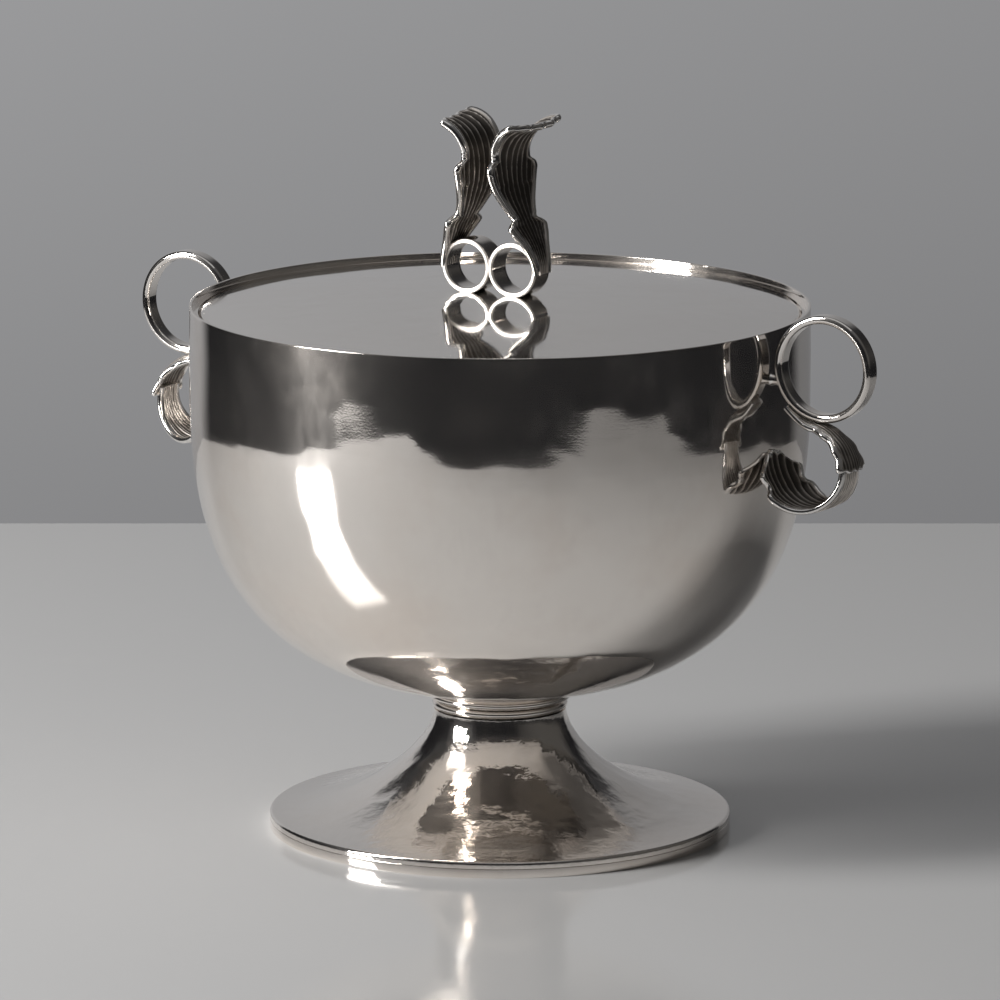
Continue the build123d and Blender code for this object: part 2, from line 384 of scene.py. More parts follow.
def grid_quads(rows, columns, wrap_rows=False, wrap_columns=False):
    """Quads between the points of a grid that is stored row by row."""
    row = np.arange(rows if wrap_rows else rows - 1)
    column = np.arange(columns if wrap_columns else columns - 1)
    r, c = np.meshgrid(row, column, indexing="ij")
    down, along = (r + 1) % rows, (c + 1) % columns
    quads = np.stack([r * columns + c, down * columns + c, down * columns + along, r * columns + along], -1)
    return quads.reshape(-1, 4)


def bezier(points, count):
    """A cubic curve: each control point weighted by its Bernstein polynomial at even steps of t."""
    t = np.linspace(0.0, 1.0, count)[:, None]
    p = np.asarray(points, float)
    return (1 - t) ** 3 * p[0] + 3 * (1 - t) ** 2 * t * p[1] + 3 * (1 - t) * t**2 * p[2] + t**3 * p[3]


def line(start, end, count):
    """Even steps from one point to another."""
    return np.linspace(start, end, count)


def arc(centre, radius, start, end, count):
    """Even steps along a circle, from one direction to another in degrees."""
    a = np.radians(np.linspace(start, end, count))
    return np.stack([centre[0] + radius * np.cos(a), centre[1] + radius * np.sin(a)], -1)


def joined(*runs):
    """Runs of points end to end, with the points where they meet kept once."""
    points = np.concatenate(runs)
    step = np.linalg.norm(np.diff(points, axis=0), axis=1)
    return points[np.concatenate([[True], step > 1e-7])]


def lengths(points):
    """Distance along a polyline at each of its points."""
    step = np.linalg.norm(np.diff(points, axis=0), axis=1)
    return np.concatenate([[0.0], np.cumsum(step)])


def even(points, step):
    """The same polyline with a point about every step, its corners kept nearly sharp."""
    along = lengths(points)
    count = max(2, int(np.ceil(along[-1] / step)) + 1)
    target = np.union1d(np.linspace(0.0, along[-1], count), along[:: max(1, len(along) // 60)])
    return np.stack([np.interp(target, along, points[:, k]) for k in range(2)], -1)


def profile_normals(points):
    """Unit normals of a polyline of (radius, height), to the right of its direction."""
    slope = np.gradient(points, axis=0)
    slope /= np.linalg.norm(slope, axis=1)[:, None]
    return np.stack([slope[:, 1], -slope[:, 0]], -1)


def scatter(i, j, seed):
    """A repeatable number from 0 to 1 for each pair of whole numbers: the fraction of a large sine."""
    return np.modf(np.abs(np.sin(i * 12.9898 + j * 78.233 + seed * 37.719) * 43758.5453))[0]


def hammered(angle, radius, along, blow, seed):
    """Ridges between hammer blows: the squared distance to the nearest blow's centre, from 0 to about 1.

    The blows stand in rings, one ring per blow size along the profile, and each is moved by up to a third."""
    nearest = np.full((len(along), len(angle)), 9.0)
    ring = np.floor(along / blow)
    for up in (-1, 0, 1):
        j = ring + up
        centre_along = (j + 0.5) * blow
        ring_radius = np.interp(centre_along, along, radius)
        count = np.maximum(3.0, np.round(2 * np.pi * ring_radius / blow))[:, None]
        cell = np.floor(angle[None, :] / (2 * np.pi) * count)
        for over in (-1, 0, 1):
            i = np.mod(cell + over, count)
            shift = scatter(i, j[:, None], seed) - 0.5
            lift = scatter(i, j[:, None], seed + 5) - 0.5
            turn = angle[None, :] - (cell + over + 0.5 + 0.66 * shift) / count * 2 * np.pi
            across = turn * radius[:, None] / blow
            rise = (along - centre_along)[:, None] / blow - 0.66 * lift
            nearest = np.minimum(nearest, across**2 + rise**2)
    return nearest


def slow_waves(angle, along, seed):
    """Slow unevenness from about -1 to 1: sines that close round the piece, each lower as it gets shorter."""
    total = np.zeros((len(along), len(angle)))
    for k in range(26):
        turn = 3 + k
        pitch = 2 * np.pi / (0.012 + 0.034 * scatter(np.array(k), np.array(1), seed))
        pitch *= -1.0 if k % 2 else 1.0
        phase = 2 * np.pi * scatter(np.array(k), np.array(2), seed)
        total += np.sin(turn * angle[None, :] + pitch * along[:, None] + phase) / (0.6 + 0.12 * k)
    return total / 5.0


def turned_piece(name, outline, segments, relief=None, closed=True, centre=(0, 0, 0), axis="Z", filed=None):
    """A profile of (radius, height) carried round an axis: x = r cos a, y = r sin a, z = h.

    A closed profile makes a ring. An open one starts and ends on the axis, where each end is one point.
    relief(angle, radius, along) gives how far each point moves along the profile's normal. filed says how
    dull each point of the profile is, from 0 to 1."""
    points = outline
    if closed and np.linalg.norm(points[0] - points[-1]) < 1e-7:
        points = points[:-1]
    angle = np.linspace(0.0, 2 * np.pi, segments, endpoint=False)
    loop = np.concatenate([points[-1:], points, points[:1]]) if closed else points
    normals = profile_normals(loop)[1:-1] if closed else profile_normals(loop)
    radius, height = points[:, :1], points[:, 1:]
    push = np.zeros((len(points), segments))
    if relief is not None:
        push = relief(angle, points[:, 0], lengths(points))
    r = radius + push * normals[:, :1]
    h = height + push * normals[:, 1:]
    if not closed:
        r, h = r[1:-1], h[1:-1]
    cos_a, sin_a = np.cos(angle)[None, :], np.sin(angle)[None, :]
    if axis == "Z":
        grid = np.stack([r * cos_a, r * sin_a, np.broadcast_to(h, r.shape)], -1)
    else:
        grid = np.stack([r * cos_a, np.broadcast_to(h, r.shape), r * sin_a], -1)
    vertices = grid.reshape(-1, 3)
    quads = grid_quads(len(r), segments, closed, True)
    if not closed:
        ends = []
        for row, pole in ((0, outline[0]), (len(r) - 1, outline[-1])):
            ring = row * segments + np.arange(segments)
            tip = len(vertices)
            vertices = np.concatenate([vertices, [[0.0, 0.0, pole[1]]]])
            fan = np.stack([np.full(segments, tip), ring, np.roll(ring, -1), np.full(segments, tip)], -1)
            ends.append(fan if row == 0 else fan[:, [0, 2, 1, 3]])
        return add_turned(name, vertices + np.array(centre), quads, ends)
    marks = None if filed is None else {"filed": np.repeat(filed, segments)}
    return add_piece(name, vertices + np.array(centre), quads, (), marks)


def add_turned(name, vertices, quads, ends):
    """A turned piece whose two ends on the axis are fans of triangles."""
    fans = np.concatenate(ends)[:, :3]
    triangles = np.concatenate([quads[:, [0, 1, 2]], quads[:, [0, 2, 3]], fans])
    if signed_volume(vertices, triangles) < 0:
        quads, fans = quads[:, ::-1], fans[:, ::-1]
    return link_mesh(name, vertices, quads.tolist() + fans.tolist())


def rounded_section(inner, outer, bottom, top, rounding, count=6):
    """A closed rectangular profile with its four corners rounded."""
    r = min(rounding, 0.49 * (outer - inner), 0.49 * (top - bottom))
    corners = (
        (outer - r, bottom + r, -90.0),
        (outer - r, top - r, 0.0),
        (inner + r, top - r, 90.0),
        (inner + r, bottom + r, 180.0),
    )
    runs = [arc((x, y), r, start, start + 90.0, count) for x, y, start in corners]
    points = np.concatenate([*runs, runs[0][:1]])
    dense = []
    for start, end in zip(points[:-1], points[1:]):
        steps = max(2, int(np.linalg.norm(end - start) / (0.6 * MM)) + 1)
        dense.append(np.linspace(start, end, steps)[:-1])
    return np.concatenate(dense)


def settle(piece, body, nodes, slot, material):
    """Gives a piece its body, the nodes that it stands for and its material. slot is not used."""
    piece.data.materials.clear()
    piece.data.materials.append(finish_for(material))
    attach(piece, body)
    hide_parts(*nodes)
    return piece


def node_size(node):
    """Lowest corner, highest corner and outer radius of a turned node."""
    low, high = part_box(node)
    return low, high, (high.x - low.x) / 2


# Leaves

# Half widths in millimetres at shares of a leaf's length, from its root to its tip. Each lobe widens slowly
# to its tip and ends in a short step.
FINIAL_WIDTHS = (
    ((0.0, 2.3), (0.1, 3.0), (0.17, 3.9), (0.25, 5.4), (0.285, 5.7), (0.31, 4.7), (0.325, 3.7)),
    ((0.36, 4.0), (0.42, 5.0), (0.50, 6.5), (0.58, 7.6), (0.62, 7.9), (0.65, 7.3), (0.67, 6.1)),
    ((0.70, 6.0), (0.75, 6.3), (0.80, 6.5), (0.90, 7.0), (0.96, 7.0), (1.0, 6.4)),
)
SHEATH_WIDTHS = (
    ((0.0, 1.8), (0.15, 2.0), (0.30, 2.4)),
    ((0.36, 2.3), (0.52, 3.0)),
    ((0.58, 2.9), (0.75, 3.9)),
    ((0.81, 3.8), (0.93, 4.6), (1.0, 4.4)),
)
SCROLL_WIDTHS = (
    ((0.0, 2.9), (0.12, 3.2), (0.25, 4.0), (0.38, 5.2), (0.50, 6.5), (0.60, 7.4), (0.67, 7.9), (0.71, 7.6)),
    ((0.74, 6.5), (0.77, 6.2), (0.82, 6.8), (0.87, 7.0), (0.91, 6.2), (0.94, 5.4), (1.0, 4.4)),
)


def smooth(x):
    """0 below 0, 1 above 1, smooth between."""
    t = np.clip(x, 0.0, 1.0)
    return t * t * (3 - 2 * t)


def ridges(phase):
    """Flutes with narrow ridges: 1 on each ridge, at whole numbers, and 0 in the round hollows between."""
    return 1.0 - np.abs(np.sin(np.pi * phase)) ** 0.75


def curve_through(table):
    """A smooth curve through (place, value) pairs, cubic between them.

    Its slope at each pair is the mean of the slopes on both sides."""
    place, value = np.array(table, float).T
    slope = np.gradient(value, place)

    def at(t):
        k = np.clip(np.searchsorted(place, t, side="right") - 1, 0, len(place) - 2)
        width = place[k + 1] - place[k]
        x = np.clip((t - place[k]) / width, 0.0, 1.0)
        start = (1 + 2 * x) * (1 - x) ** 2 * value[k] + x * (1 - x) ** 2 * width * slope[k]
        return start + x * x * (3 - 2 * x) * value[k + 1] + x * x * (x - 1) * width * slope[k + 1]

    return at


def outline_of(lobes, edge):
    """Half width at a share of the length: the smooth curve through the lobes' widths, less the edge's."""
    return curve_through([(place, width * MM - edge) for part in lobes for place, width in part])


def leaf_piece(path, shape, rows, columns, turn=9, taper=9):
    """A cast leaf: a thick sheet along a path in the XZ plane, fluted on both faces inside a plain border.

    A point is the path at u times the reach that v allows, plus v times the half width along Y, plus the
    path's normal times the bow, the flutes and half the thickness. Round edges of `turn` points join the
    faces, and over the last `taper` rows, half a thickness long, the thickness falls as a quarter circle."""
    along = lengths(path)
    total = along[-1]
    along /= total
    half = shape["thickness"] / 2
    close = 0.9 * half / total
    nearly_square = 1.54  # a little under a quarter turn, so the end keeps some thickness for its cap
    sweep = np.linspace(0.0, nearly_square, taper + 1)[1:]
    body = np.linspace(0.0, 1.0 - close, rows - taper)
    u = np.concatenate([body, 1.0 - close + close * np.sin(sweep)])[:, None]
    closing = np.concatenate([np.ones(rows - taper), np.cos(sweep)])[:, None]
    v = np.sin(0.5 * np.pi * np.linspace(-1.0, 1.0, columns))[None, :]
    theta = np.linspace(0.5 * np.pi, -0.5 * np.pi, turn + 2)[1:-1]
    fine = np.linspace(0.0, 1.0, 400)
    px, pz = (np.interp(fine, along, path[:, k]) for k in range(2))
    dx, dz = np.gradient(px), np.gradient(pz)
    norm = np.hypot(dx, dz)

    def place(v, level, out):
        """Points at v, a height over the middle sheet and a distance out past its edge."""
        t = np.clip(u * shape["reach"](v), 0.0, 1.0)
        width = np.where(v < 0, shape["near"](t), shape["far"](t))
        y = width * v + out
        lift = shape["bow"](t, v) + level
        x = np.interp(t, fine, px) + np.interp(t, fine, -dz / norm) * lift
        z = np.interp(t, fine, pz) + np.interp(t, fine, dx / norm) * lift
        return np.stack([x, np.broadcast_to(y, x.shape), z], -1), t, width

    _, t, width = place(v, 0.0, 0.0)
    inside = (1.0 - np.abs(v)) * width
    tail = (1.0 - u) * total
    border = smooth(inside / shape["border"] - 0.35) * smooth(tail / shape["border"] - 0.35)
    phase = width * v / shape["fan"](t) * shape["flutes"] / 2 + 0.5 * (shape["flutes"] % 2)
    ridge = ridges(phase)
    deep = shape["depth"] * shape["fade"](t) * border
    cut = deep * (1.0 - ridge)
    rim = half * closing
    front, _, _ = place(v, rim - cut * closing, 0.0)
    back, _, _ = place(v, -rim + cut * closing, 0.0)
    edges = []
    for side, order in ((1.0, theta), (-1.0, -theta)):
        v_edge = np.full((1, len(theta)), side)
        points, _, _ = place(v_edge, rim * np.sin(order)[None, :], side * rim * np.cos(order)[None, :])
        edges.append(points)
    loop = np.concatenate([front, edges[0], back[:, ::-1], edges[1]], axis=1)
    around = loop.shape[1]
    quads = grid_quads(rows, around, False, True)
    ring = np.arange(around)
    caps = [ring[::-1], (rows - 1) * around + ring]
    film = 0.30 + shape["dark"] * (1.0 - ridge) ** 0.7
    hollow = np.clip(film * border * shape["fade"](t), 0.0, 1.0)
    blank = np.zeros((rows, len(theta)))
    mask = np.concatenate([hollow, blank, hollow[:, ::-1], blank], axis=1)
    return loop.reshape(-1, 3), quads, mask.reshape(-1), caps


def both_sides(kind, points, quads, mask, caps=(), centre_x=0.0, mirror=False, **rest):
    """The same piece on +X and on -X of a centre, where it is turned half round or mirrored."""
    pieces = []
    for side, sign in zip(SIDES, (1.0, -1.0)):
        turned = points * np.array([sign, 1.0 if mirror else sign, 1.0]) + np.array([centre_x, 0.0, 0.0])
        attributes = None if mask is None else {"hollow": mask}
        piece = add_piece(f"{kind}_{side}_silver", turned, quads, caps, attributes)
        pieces.append(settle(piece, nodes=[f"{kind}_{side}"], **rest))
    return pieces


# Operators


class SUGARBOWL_OT_foot(bpy.types.Operator):
    """Hammered trumpet foot and the wire round its edge."""

    bl_idname = "sugarbowl.foot"
    bl_label = "Foot"

    def execute(self, context):
        shape, marks = context.scene.bowl_shape, context.scene.bowl_hammer
        _, high, radius = node_size("foot_trumpet")
        _, edge_high, _ = node_size("foot_edge")
        edge_top = edge_high.z + shape.foot_wall
        turn_over = shape.foot_turn

        def flare(inset, radius):
            return bezier(
                (
                    (radius, edge_top - inset),
                    (radius - shape.flare_pull, edge_top + shape.flare_rise - inset),
                    (shape.neck_radius + shape.neck_flare - inset, high.z - shape.neck_pull - inset),
                    (shape.neck_radius - inset, high.z),
                ),
                160,
            )

        outside = even(flare(0.0, radius - turn_over), 0.42 * MM)
        inside = flare(shape.foot_wall, radius - turn_over)[::-4]
        border = arc((radius - turn_over, edge_top - turn_over), turn_over, 0.0, 90.0, 7)
        outline = joined(
            line((radius, edge_top - shape.foot_wall), (radius, edge_top - turn_over), 3),
            border,
            outside,
            line((shape.neck_radius, high.z), (shape.neck_radius - shape.foot_wall, high.z), 3),
            inside,
            line(inside[-1], (radius, edge_top - shape.foot_wall), 3),
        )

        def relief(angle, ring, along):
            """Hammer marks of two sizes and slow waves, from inside the edge to below the neck."""
            start, margin, growth = 1.5 * MM, 2.0 * MM, 9.0 * MM
            top = start + lengths(outside)[-1]
            fade_in = smooth((along - start - margin) / growth)
            fade_out = 1.0 - smooth((along - top + margin) / margin)
            dents = hammered(angle, ring, along, marks.foot_blow, 3)
            small = hammered(angle, ring, along, 0.55 * marks.foot_blow, 17)
            waves = slow_waves(angle, along, 8) * smooth(ring / (20.0 * MM))[:, None]
            ridges_up = 4.0 * marks.foot_depth * (dents + 0.28 * small)
            return (fade_in * fade_out)[:, None] * (ridges_up + marks.foot_wave * waves)

        foot = turned_piece("foot_trumpet_silver", outline, 448, relief)
        settle(foot, "bowl", ["foot_trumpet"], "hammered_silver", "silver_hammered")
        section = rounded_section(radius - shape.foot_wire, radius, 0.0, edge_high.z, 0.12 * MM)
        wire = turned_piece("foot_edge_silver", section, 384)
        settle(wire, "bowl", ["foot_edge"], "polished_silver", "silver_turned")
        return {"FINISHED"}


class SUGARBOWL_OT_collar(bpy.types.Operator):
    """Two turned rings between the foot and the bowl."""

    bl_idname = "sugarbowl.collar"
    bl_label = "Collar"

    def execute(self, context):
        shape = context.scene.bowl_shape
        inner = shape.collar_bore
        for node in ("collar_lower", "collar_upper"):
            low, high, radius = node_size(node)
            upper = node == "collar_upper"
            top = low.z + shape.collar_height if upper else high.z
            middle = (low.z + top) / 2
            bead = 0.42 * (top - low.z)
            neck = radius - 1.3 * bead
            flare = arc((radius - bead, middle), bead, -80.0, 62.0, 14)
            shoulder = line(flare[-1], (neck, top), 4)
            saddle = shoulder[-1:]
            if upper:
                saddle = [(radius - 1.1 * bead, high.z - 0.05 * MM), (inner + 1.0 * MM, top + 0.25 * MM)]
            outline = joined(
                line((inner, low.z), (neck, low.z), 10),
                flare,
                shoulder,
                np.array(saddle),
                line((inner, top), (inner, low.z), 5),
            )
            ring = turned_piece(f"{node}_silver", outline, 256)
            settle(ring, "bowl", [node], "polished_silver", "silver_turned")
        return {"FINISHED"}


class SUGARBOWL_OT_bowl(bpy.types.Operator):
    """Raised bowl with the wire round its rim and the ledge inside it."""

    bl_idname = "sugarbowl.bowl"
    bl_label = "Bowl"

    def execute(self, context):
        shape, marks = context.scene.bowl_shape, context.scene.bowl_hammer
        low, high, radius = node_size("bowl_body")
        wire_low, wire_high, wire_radius = node_size("rim_wire")
        belly_top = wire_high.z - shape.straight

        def belly(inset, count):
            r, bottom = radius - inset, low.z + inset
            pull = belly_top - shape.belly_pull
            points = ((r, belly_top), (r, pull), (shape.base_pull, bottom), (0.0, bottom))
            return bezier(points, count)

        outside = joined(line((radius, high.z), (radius, belly_top), 20), belly(0.0, 200))
        outside = even(outside, 1.0 * MM)
        inner = radius - shape.wall
        inside = joined(belly(shape.wall, 50)[::-1], line((inner, belly_top), (inner, high.z), 6))

        def relief(angle, ring, along):
            """Faint hammer facets and slow waves that die out at the rim and under the collar."""
            fade = (smooth(along / (7.0 * MM)) * smooth(ring / (14.0 * MM)))[:, None]
            dents = hammered(angle, ring, along, marks.bowl_blow, 11)
            return fade * (4.0 * marks.bowl_depth * dents + marks.bowl_wave * slow_waves(angle, along, 4))

        shell = turned_shell("bowl_body_silver", outside, inside, 384, relief)
        settle(shell, "bowl", ["bowl_body"], "polished_silver", "silver_turned")

        inner = wire_radius - shape.rim_wire
        lip, soft = shape.rim_lip, shape.rim_soft
        step, slope = wire_low.z + 0.12 * MM, 0.04 * MM
        section = joined(
            line((inner, wire_low.z), (wire_radius, wire_low.z), 4),
            line((wire_radius, wire_low.z), (wire_radius, wire_high.z - soft), 4),
            arc((wire_radius - soft, wire_high.z - soft), soft, 0.0, 90.0, 6),
            arc((wire_radius - lip + soft, wire_high.z - soft), soft, 90.0, 175.0, 6),
            line((wire_radius - lip - slope, step + slope), (inner, step), 4),
            line((inner, step), (inner, wire_low.z), 3),
        )
        wire = turned_piece("rim_wire_silver", section, 512)
        settle(wire, "bowl", ["rim_wire"], "polished_silver", "silver_turned")
        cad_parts["lid_seat"].data.materials.clear()
        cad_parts["lid_seat"].data.materials.append(finish_for("silver_turned"))
        return {"FINISHED"}


def turned_shell(name, outside, inside, segments, relief):
    """An open vessel: its outside and its inside each run to the axis, and its rim joins them.

    Both are profiles carried round Z, and only the outside has relief."""
    angle = np.linspace(0.0, 2 * np.pi, segments, endpoint=False)
    normals = -profile_normals(outside)
    push = relief(angle, outside[:, 0], lengths(outside))
    r_out = outside[:, :1] + push * normals[:, :1]
    h_out = outside[:, 1:] + push * normals[:, 1:]
    r = np.concatenate([r_out[:-1], np.broadcast_to(inside[1:, :1], (len(inside) - 1, segments))])
    h = np.concatenate([h_out[:-1], np.broadcast_to(inside[1:, 1:], (len(inside) - 1, segments))])
    order = np.concatenate([np.arange(len(outside) - 2, -1, -1), np.arange(len(h) - 1, len(outside) - 2, -1)])
    r, h = r[order], h[order]
    grid = np.stack([r * np.cos(angle)[None, :], r * np.sin(angle)[None, :], h], -1)
    vertices = np.concatenate([grid.reshape(-1, 3), [[0, 0, outside[-1, 1]], [0, 0, inside[0, 1]]]])
    first = np.arange(segments)
    last = (len(r) - 1) * segments + first
    tips = (len(vertices) - 2, len(vertices) - 1)
    ends = [
        np.stack([np.full(segments, tips[0]), first, np.roll(first, -1)], -1)[:, [0, 1, 2, 0]],
        np.stack([np.full(segments, tips[1]), np.roll(last, -1), last], -1)[:, [0, 1, 2, 0]],
    ]
    return add_turned(name, vertices, grid_quads(len(r), segments, False, True), ends)


class SUGARBOWL_OT_lid(bpy.types.Operator):
    """Shallow domed lid with its locating ring."""

    bl_idname = "sugarbowl.lid"
    bl_label = "Lid"

    def execute(self, context):
        shape, marks = context.scene.bowl_shape, context.scene.bowl_hammer
        low, high, radius = node_size("lid_plate")
        edge_top = low.z + shape.lid_wall
        rise = high.z - edge_top
        lip = shape.lid_soft
        r = np.linspace(0.0, radius - lip, 90)
        top = np.stack([r, edge_top + rise * (1.0 - (r / radius) ** 2)], -1)
        back = r[::-6]
        dome = np.clip(1.0 - (back / (radius - 3.0 * shape.lid_wall)) ** 2, 0.0, 1.0)
        under = np.stack([back, low.z + (rise - shape.lid_wall) * dome], -1)
        border = arc((radius - lip, edge_top - lip), lip, 88.0, 0.0, 6)
        side = line((radius, edge_top - lip), (radius, low.z), 3)
        outline = joined(top, border, side, under, [[0.0, under[-1, 1]]])

        def relief(angle, ring, along):
            """Slow waves on the top, which die out before its edge and in its middle."""
            on_top = (along < radius) * (1.0 - smooth((ring - radius + 3.0 * MM) / (2.5 * MM)))
            fade = on_top * smooth(ring / (6.0 * MM))
            return -0.35 * marks.bowl_wave * fade[:, None] * slow_waves(angle, along, 21)

        lid = turned_piece("lid_plate_silver", outline, 360, relief, closed=False)
        settle(lid, "lid", ["lid_plate"], "polished_silver", "silver_lid")
        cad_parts["lid_flange"].data.materials.clear()
        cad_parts["lid_flange"].data.materials.append(finish_for("silver_turned"))
        return {"FINISHED"}


class SUGARBOWL_OT_finial(bpy.types.Operator):
    """Two bands side by side on the lid, and a fluted leaf curling outwards from each."""

    bl_idname = "sugarbowl.finial"
    bl_label = "Finial"

    def execute(self, context):
        form = context.scene.bowl_finial
        low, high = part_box("finial_ring_right")
        other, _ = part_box("finial_ring_left")
        axis_x = (high.x + other.x) / 2
        radius = (high.z - low.z) / 2 + 0.075 * MM
        reach = high.x - axis_x - radius
        height = high.z - radius
        half_width = high.y
        section = rounded_section(radius - form.wall, radius, -half_width, half_width, form.band_soft, 5)
        filed = smooth((np.abs(section[:, 1]) - half_width + form.band_soft) / (0.5 * form.band_soft))
        for side, sign in zip(SIDES, (1.0, -1.0)):
            centre = (axis_x + sign * reach, 0.0, height)
            name = f"finial_ring_{side}_silver"
            band = turned_piece(name, section, 192, centre=centre, axis="Y", filed=filed)
            settle(band, "lid", [f"finial_ring_{side}"], "polished_silver", "silver_bright")

        _, leaf_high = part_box("finial_leaf_right")
        tip_x, tip_z = leaf_high.x - axis_x, leaf_high.z
        root = (form.root, height - form.root_drop)
        waist = (form.waist, height + form.waist_rise)
        climb = waist[1] - root[1]
        lower = (root, (root[0], root[1] + 0.32 * climb), (waist[0], waist[1] - 0.42 * climb), waist)
        tip = (tip_x - 0.3 * MM, tip_z - 0.75 * MM)
        curl = tip[1] - waist[1]
        bend = (waist[0] + 0.22 * (tip[0] - waist[0]), tip[1] + 0.03 * curl)
        upper = (waist, (waist[0], waist[1] + 0.5 * curl), bend, tip)
        path = joined(bezier(lower, 90), bezier(upper, 60))

        edge = outline_of(FINIAL_WIDTHS, form.leaf_inset)

        def fan(t):
            """Half the width over which the flutes are spread at t."""
            return 0.3 * edge(0.3 * t + 0.7 * smooth(t / 0.8)) + (1.5 + 3.3 * smooth(t / 0.85)) * MM

        shape = {
            "near": edge,
            "far": lambda t: edge(t + 0.012),
            "reach": lambda v: 1.0 - 0.035 * (1.0 - v) - 0.030 * v**4 + 0.008 * np.cos(v * 4.0 * np.pi),
            "fan": fan,
            "flutes": 7,
            "border": 1.0 * MM,
            "depth": 0.42 * MM,
            "dark": 0.85,
            "fade": lambda t: 0.55 + 0.45 * smooth(t / 0.15),
            "bow": lambda t, v: (0.9 * smooth((t - 0.60) / 0.15) - 0.1) * MM * v**2,
            "thickness": form.leaf_edge,
        }
        surface = leaf_piece(path, shape, 250, 150)
        rest = {"body": "lid", "slot": "oxidised_silver", "material": "silver_oxidised"}
        both_sides("finial_leaf", *surface, centre_x=axis_x, mirror=True, **rest)
        return {"FINISHED"}


def oval_section(radius, wall, half_width, flat):
    """A ring's closed profile of (radius, place along its axis): its two faces are half ovals as high as the
    wall is wide times `flat`, joined by straight sides."""
    middle, half = radius - wall / 2, wall / 2
    rise = flat * wall
    swing = np.linspace(0.0, np.pi, 22)
    top = np.stack([middle + half * np.cos(swing), half_width - rise + rise * np.sin(swing)], -1)
    inside = line((radius - wall, half_width - rise), (radius - wall, rise - half_width), 8)
    bottom = np.stack([middle - half * np.cos(swing), rise - half_width - rise * np.sin(swing)], -1)
    outside = line((radius, rise - half_width), (radius, half_width - rise), 8)
    points = joined(top, inside, bottom, outside)
    return points[:-1]


class SUGARBOWL_OT_handles(bpy.types.Operator):
    """Ring, peg, sheath leaf and scroll leaf on each side of the bowl."""

    bl_idname = "sugarbowl.handles"
    bl_label = "Handles"

    def execute(self, context):
        form = context.scene.bowl_handles
        low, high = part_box("handle_ring_right")
        radius = (high.x - low.x) / 2
        centre_x, centre_z = (high.x + low.x) / 2, (high.z + low.z) / 2
        section = oval_section(radius, form.wall, high.y, 0.42)
        for side, sign in zip(SIDES, (1.0, -1.0)):
            centre = (sign * centre_x, 0.0, centre_z)
            ring = turned_piece(f"handle_ring_{side}_silver", section, 320, centre=centre, axis="Y")
            settle(ring, "bowl", [f"handle_ring_{side}"], "polished_silver", "silver_bright")

        points, quads = peg_surface(*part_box("handle_peg_right"))
        rest = {"body": "bowl", "slot": "polished_silver", "material": "silver_bright"}
        both_sides("handle_peg", points, quads, None, **rest)

        middle = (form.scroll_x, form.scroll_z)
        drop = (form.sheath_reach, form.scroll_z)
        crest = arc((centre_x, centre_z), radius + 0.4 * MM, 226.0, 262.0, 40)
        path = joined(crest, tangent_arc(crest[-1], crest[-1] - crest[-2], drop, 110))
        rest = {"body": "bowl", "slot": "oxidised_silver", "material": "silver_oxidised"}
        edge = outline_of(SHEATH_WIDTHS, form.leaf_inset)
        sheath = {
            "near": edge,
            "far": edge,
            "reach": lambda v: 1.0 - 0.030 * v**4 + 0.010 * np.cos(v * 4.0 * np.pi),
            "fan": lambda t: 1.5 * MM + 3.0 * MM * smooth(t),
            "flutes": 12,
            "border": 0.55 * MM,
            "depth": 0.11 * MM,
            "dark": 0.42,
            "fade": lambda t: 0.75 + 0.25 * smooth(t / 0.3),
            "bow": lambda t, v: -(0.30 + 0.60 * smooth(t / 0.45)) * MM * v**2,
            "thickness": form.sheath_edge,
        }
        surface = leaf_piece(path, sheath, 200, 130)
        both_sides("sheath_leaf", *surface, **rest)

        curl = arc(middle, form.scroll_curve, 14.0, -150.0, 170)
        wall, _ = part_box("scroll_leaf_right")
        end = (wall.x + 0.5 * MM, form.scroll_tip)
        path = joined(curl, tangent_arc(curl[-1], curl[-1] - curl[-2], end, 24))
        outline = outline_of(SCROLL_WIDTHS, form.leaf_inset)
        scroll = {
            "near": outline,
            "far": lambda t: outline(t + 0.01),
            "reach": lambda v: 1.0 - 0.15 * np.abs(v) ** 2.6 + 0.010 * np.cos(v * 4.0 * np.pi),
            "fan": lambda t: 2.4 * MM + 4.2 * MM * smooth((t - 0.10) / 0.75),
            "flutes": 7,
            "border": 0.80 * MM,
            "depth": 0.36 * MM,
            "dark": 0.65,
            "fade": lambda t: 0.70 + 0.30 * smooth((t - 0.05) / 0.30),
            "bow": lambda t, v: -(0.2 + 0.9 * smooth((t - 0.35) / 0.4)) * MM * v**2,
            "thickness": form.scroll_edge,
        }
        surface = leaf_piece(path, scroll, 250, 150)
        both_sides("scroll_leaf", *surface, **rest)
        return {"FINISHED"}


def tangent_arc(start, direction, end, count):
    """The circle that leaves start along a direction and reaches end: its centre is square to the direction
    at half the chord squared over the chord's part across the direction."""
    start, end = np.asarray(start, float), np.asarray(end, float)
    d = np.asarray(direction, float) / np.linalg.norm(direction)
    side = np.array([-d[1], d[0]])
    chord = end - start
    radius = chord @ chord / (2.0 * (chord @ side))
    centre = start + radius * side
    a = np.arctan2(*(start - centre)[::-1])
    b = np.arctan2(*(end - centre)[::-1])
    turn = np.mod(b - a, 2 * np.pi) if radius > 0 else -np.mod(a - b, 2 * np.pi)
    steps = a + np.linspace(0.0, 1.0, count) * turn
    return centre + abs(radius) * np.stack([np.cos(steps), np.sin(steps)], -1)


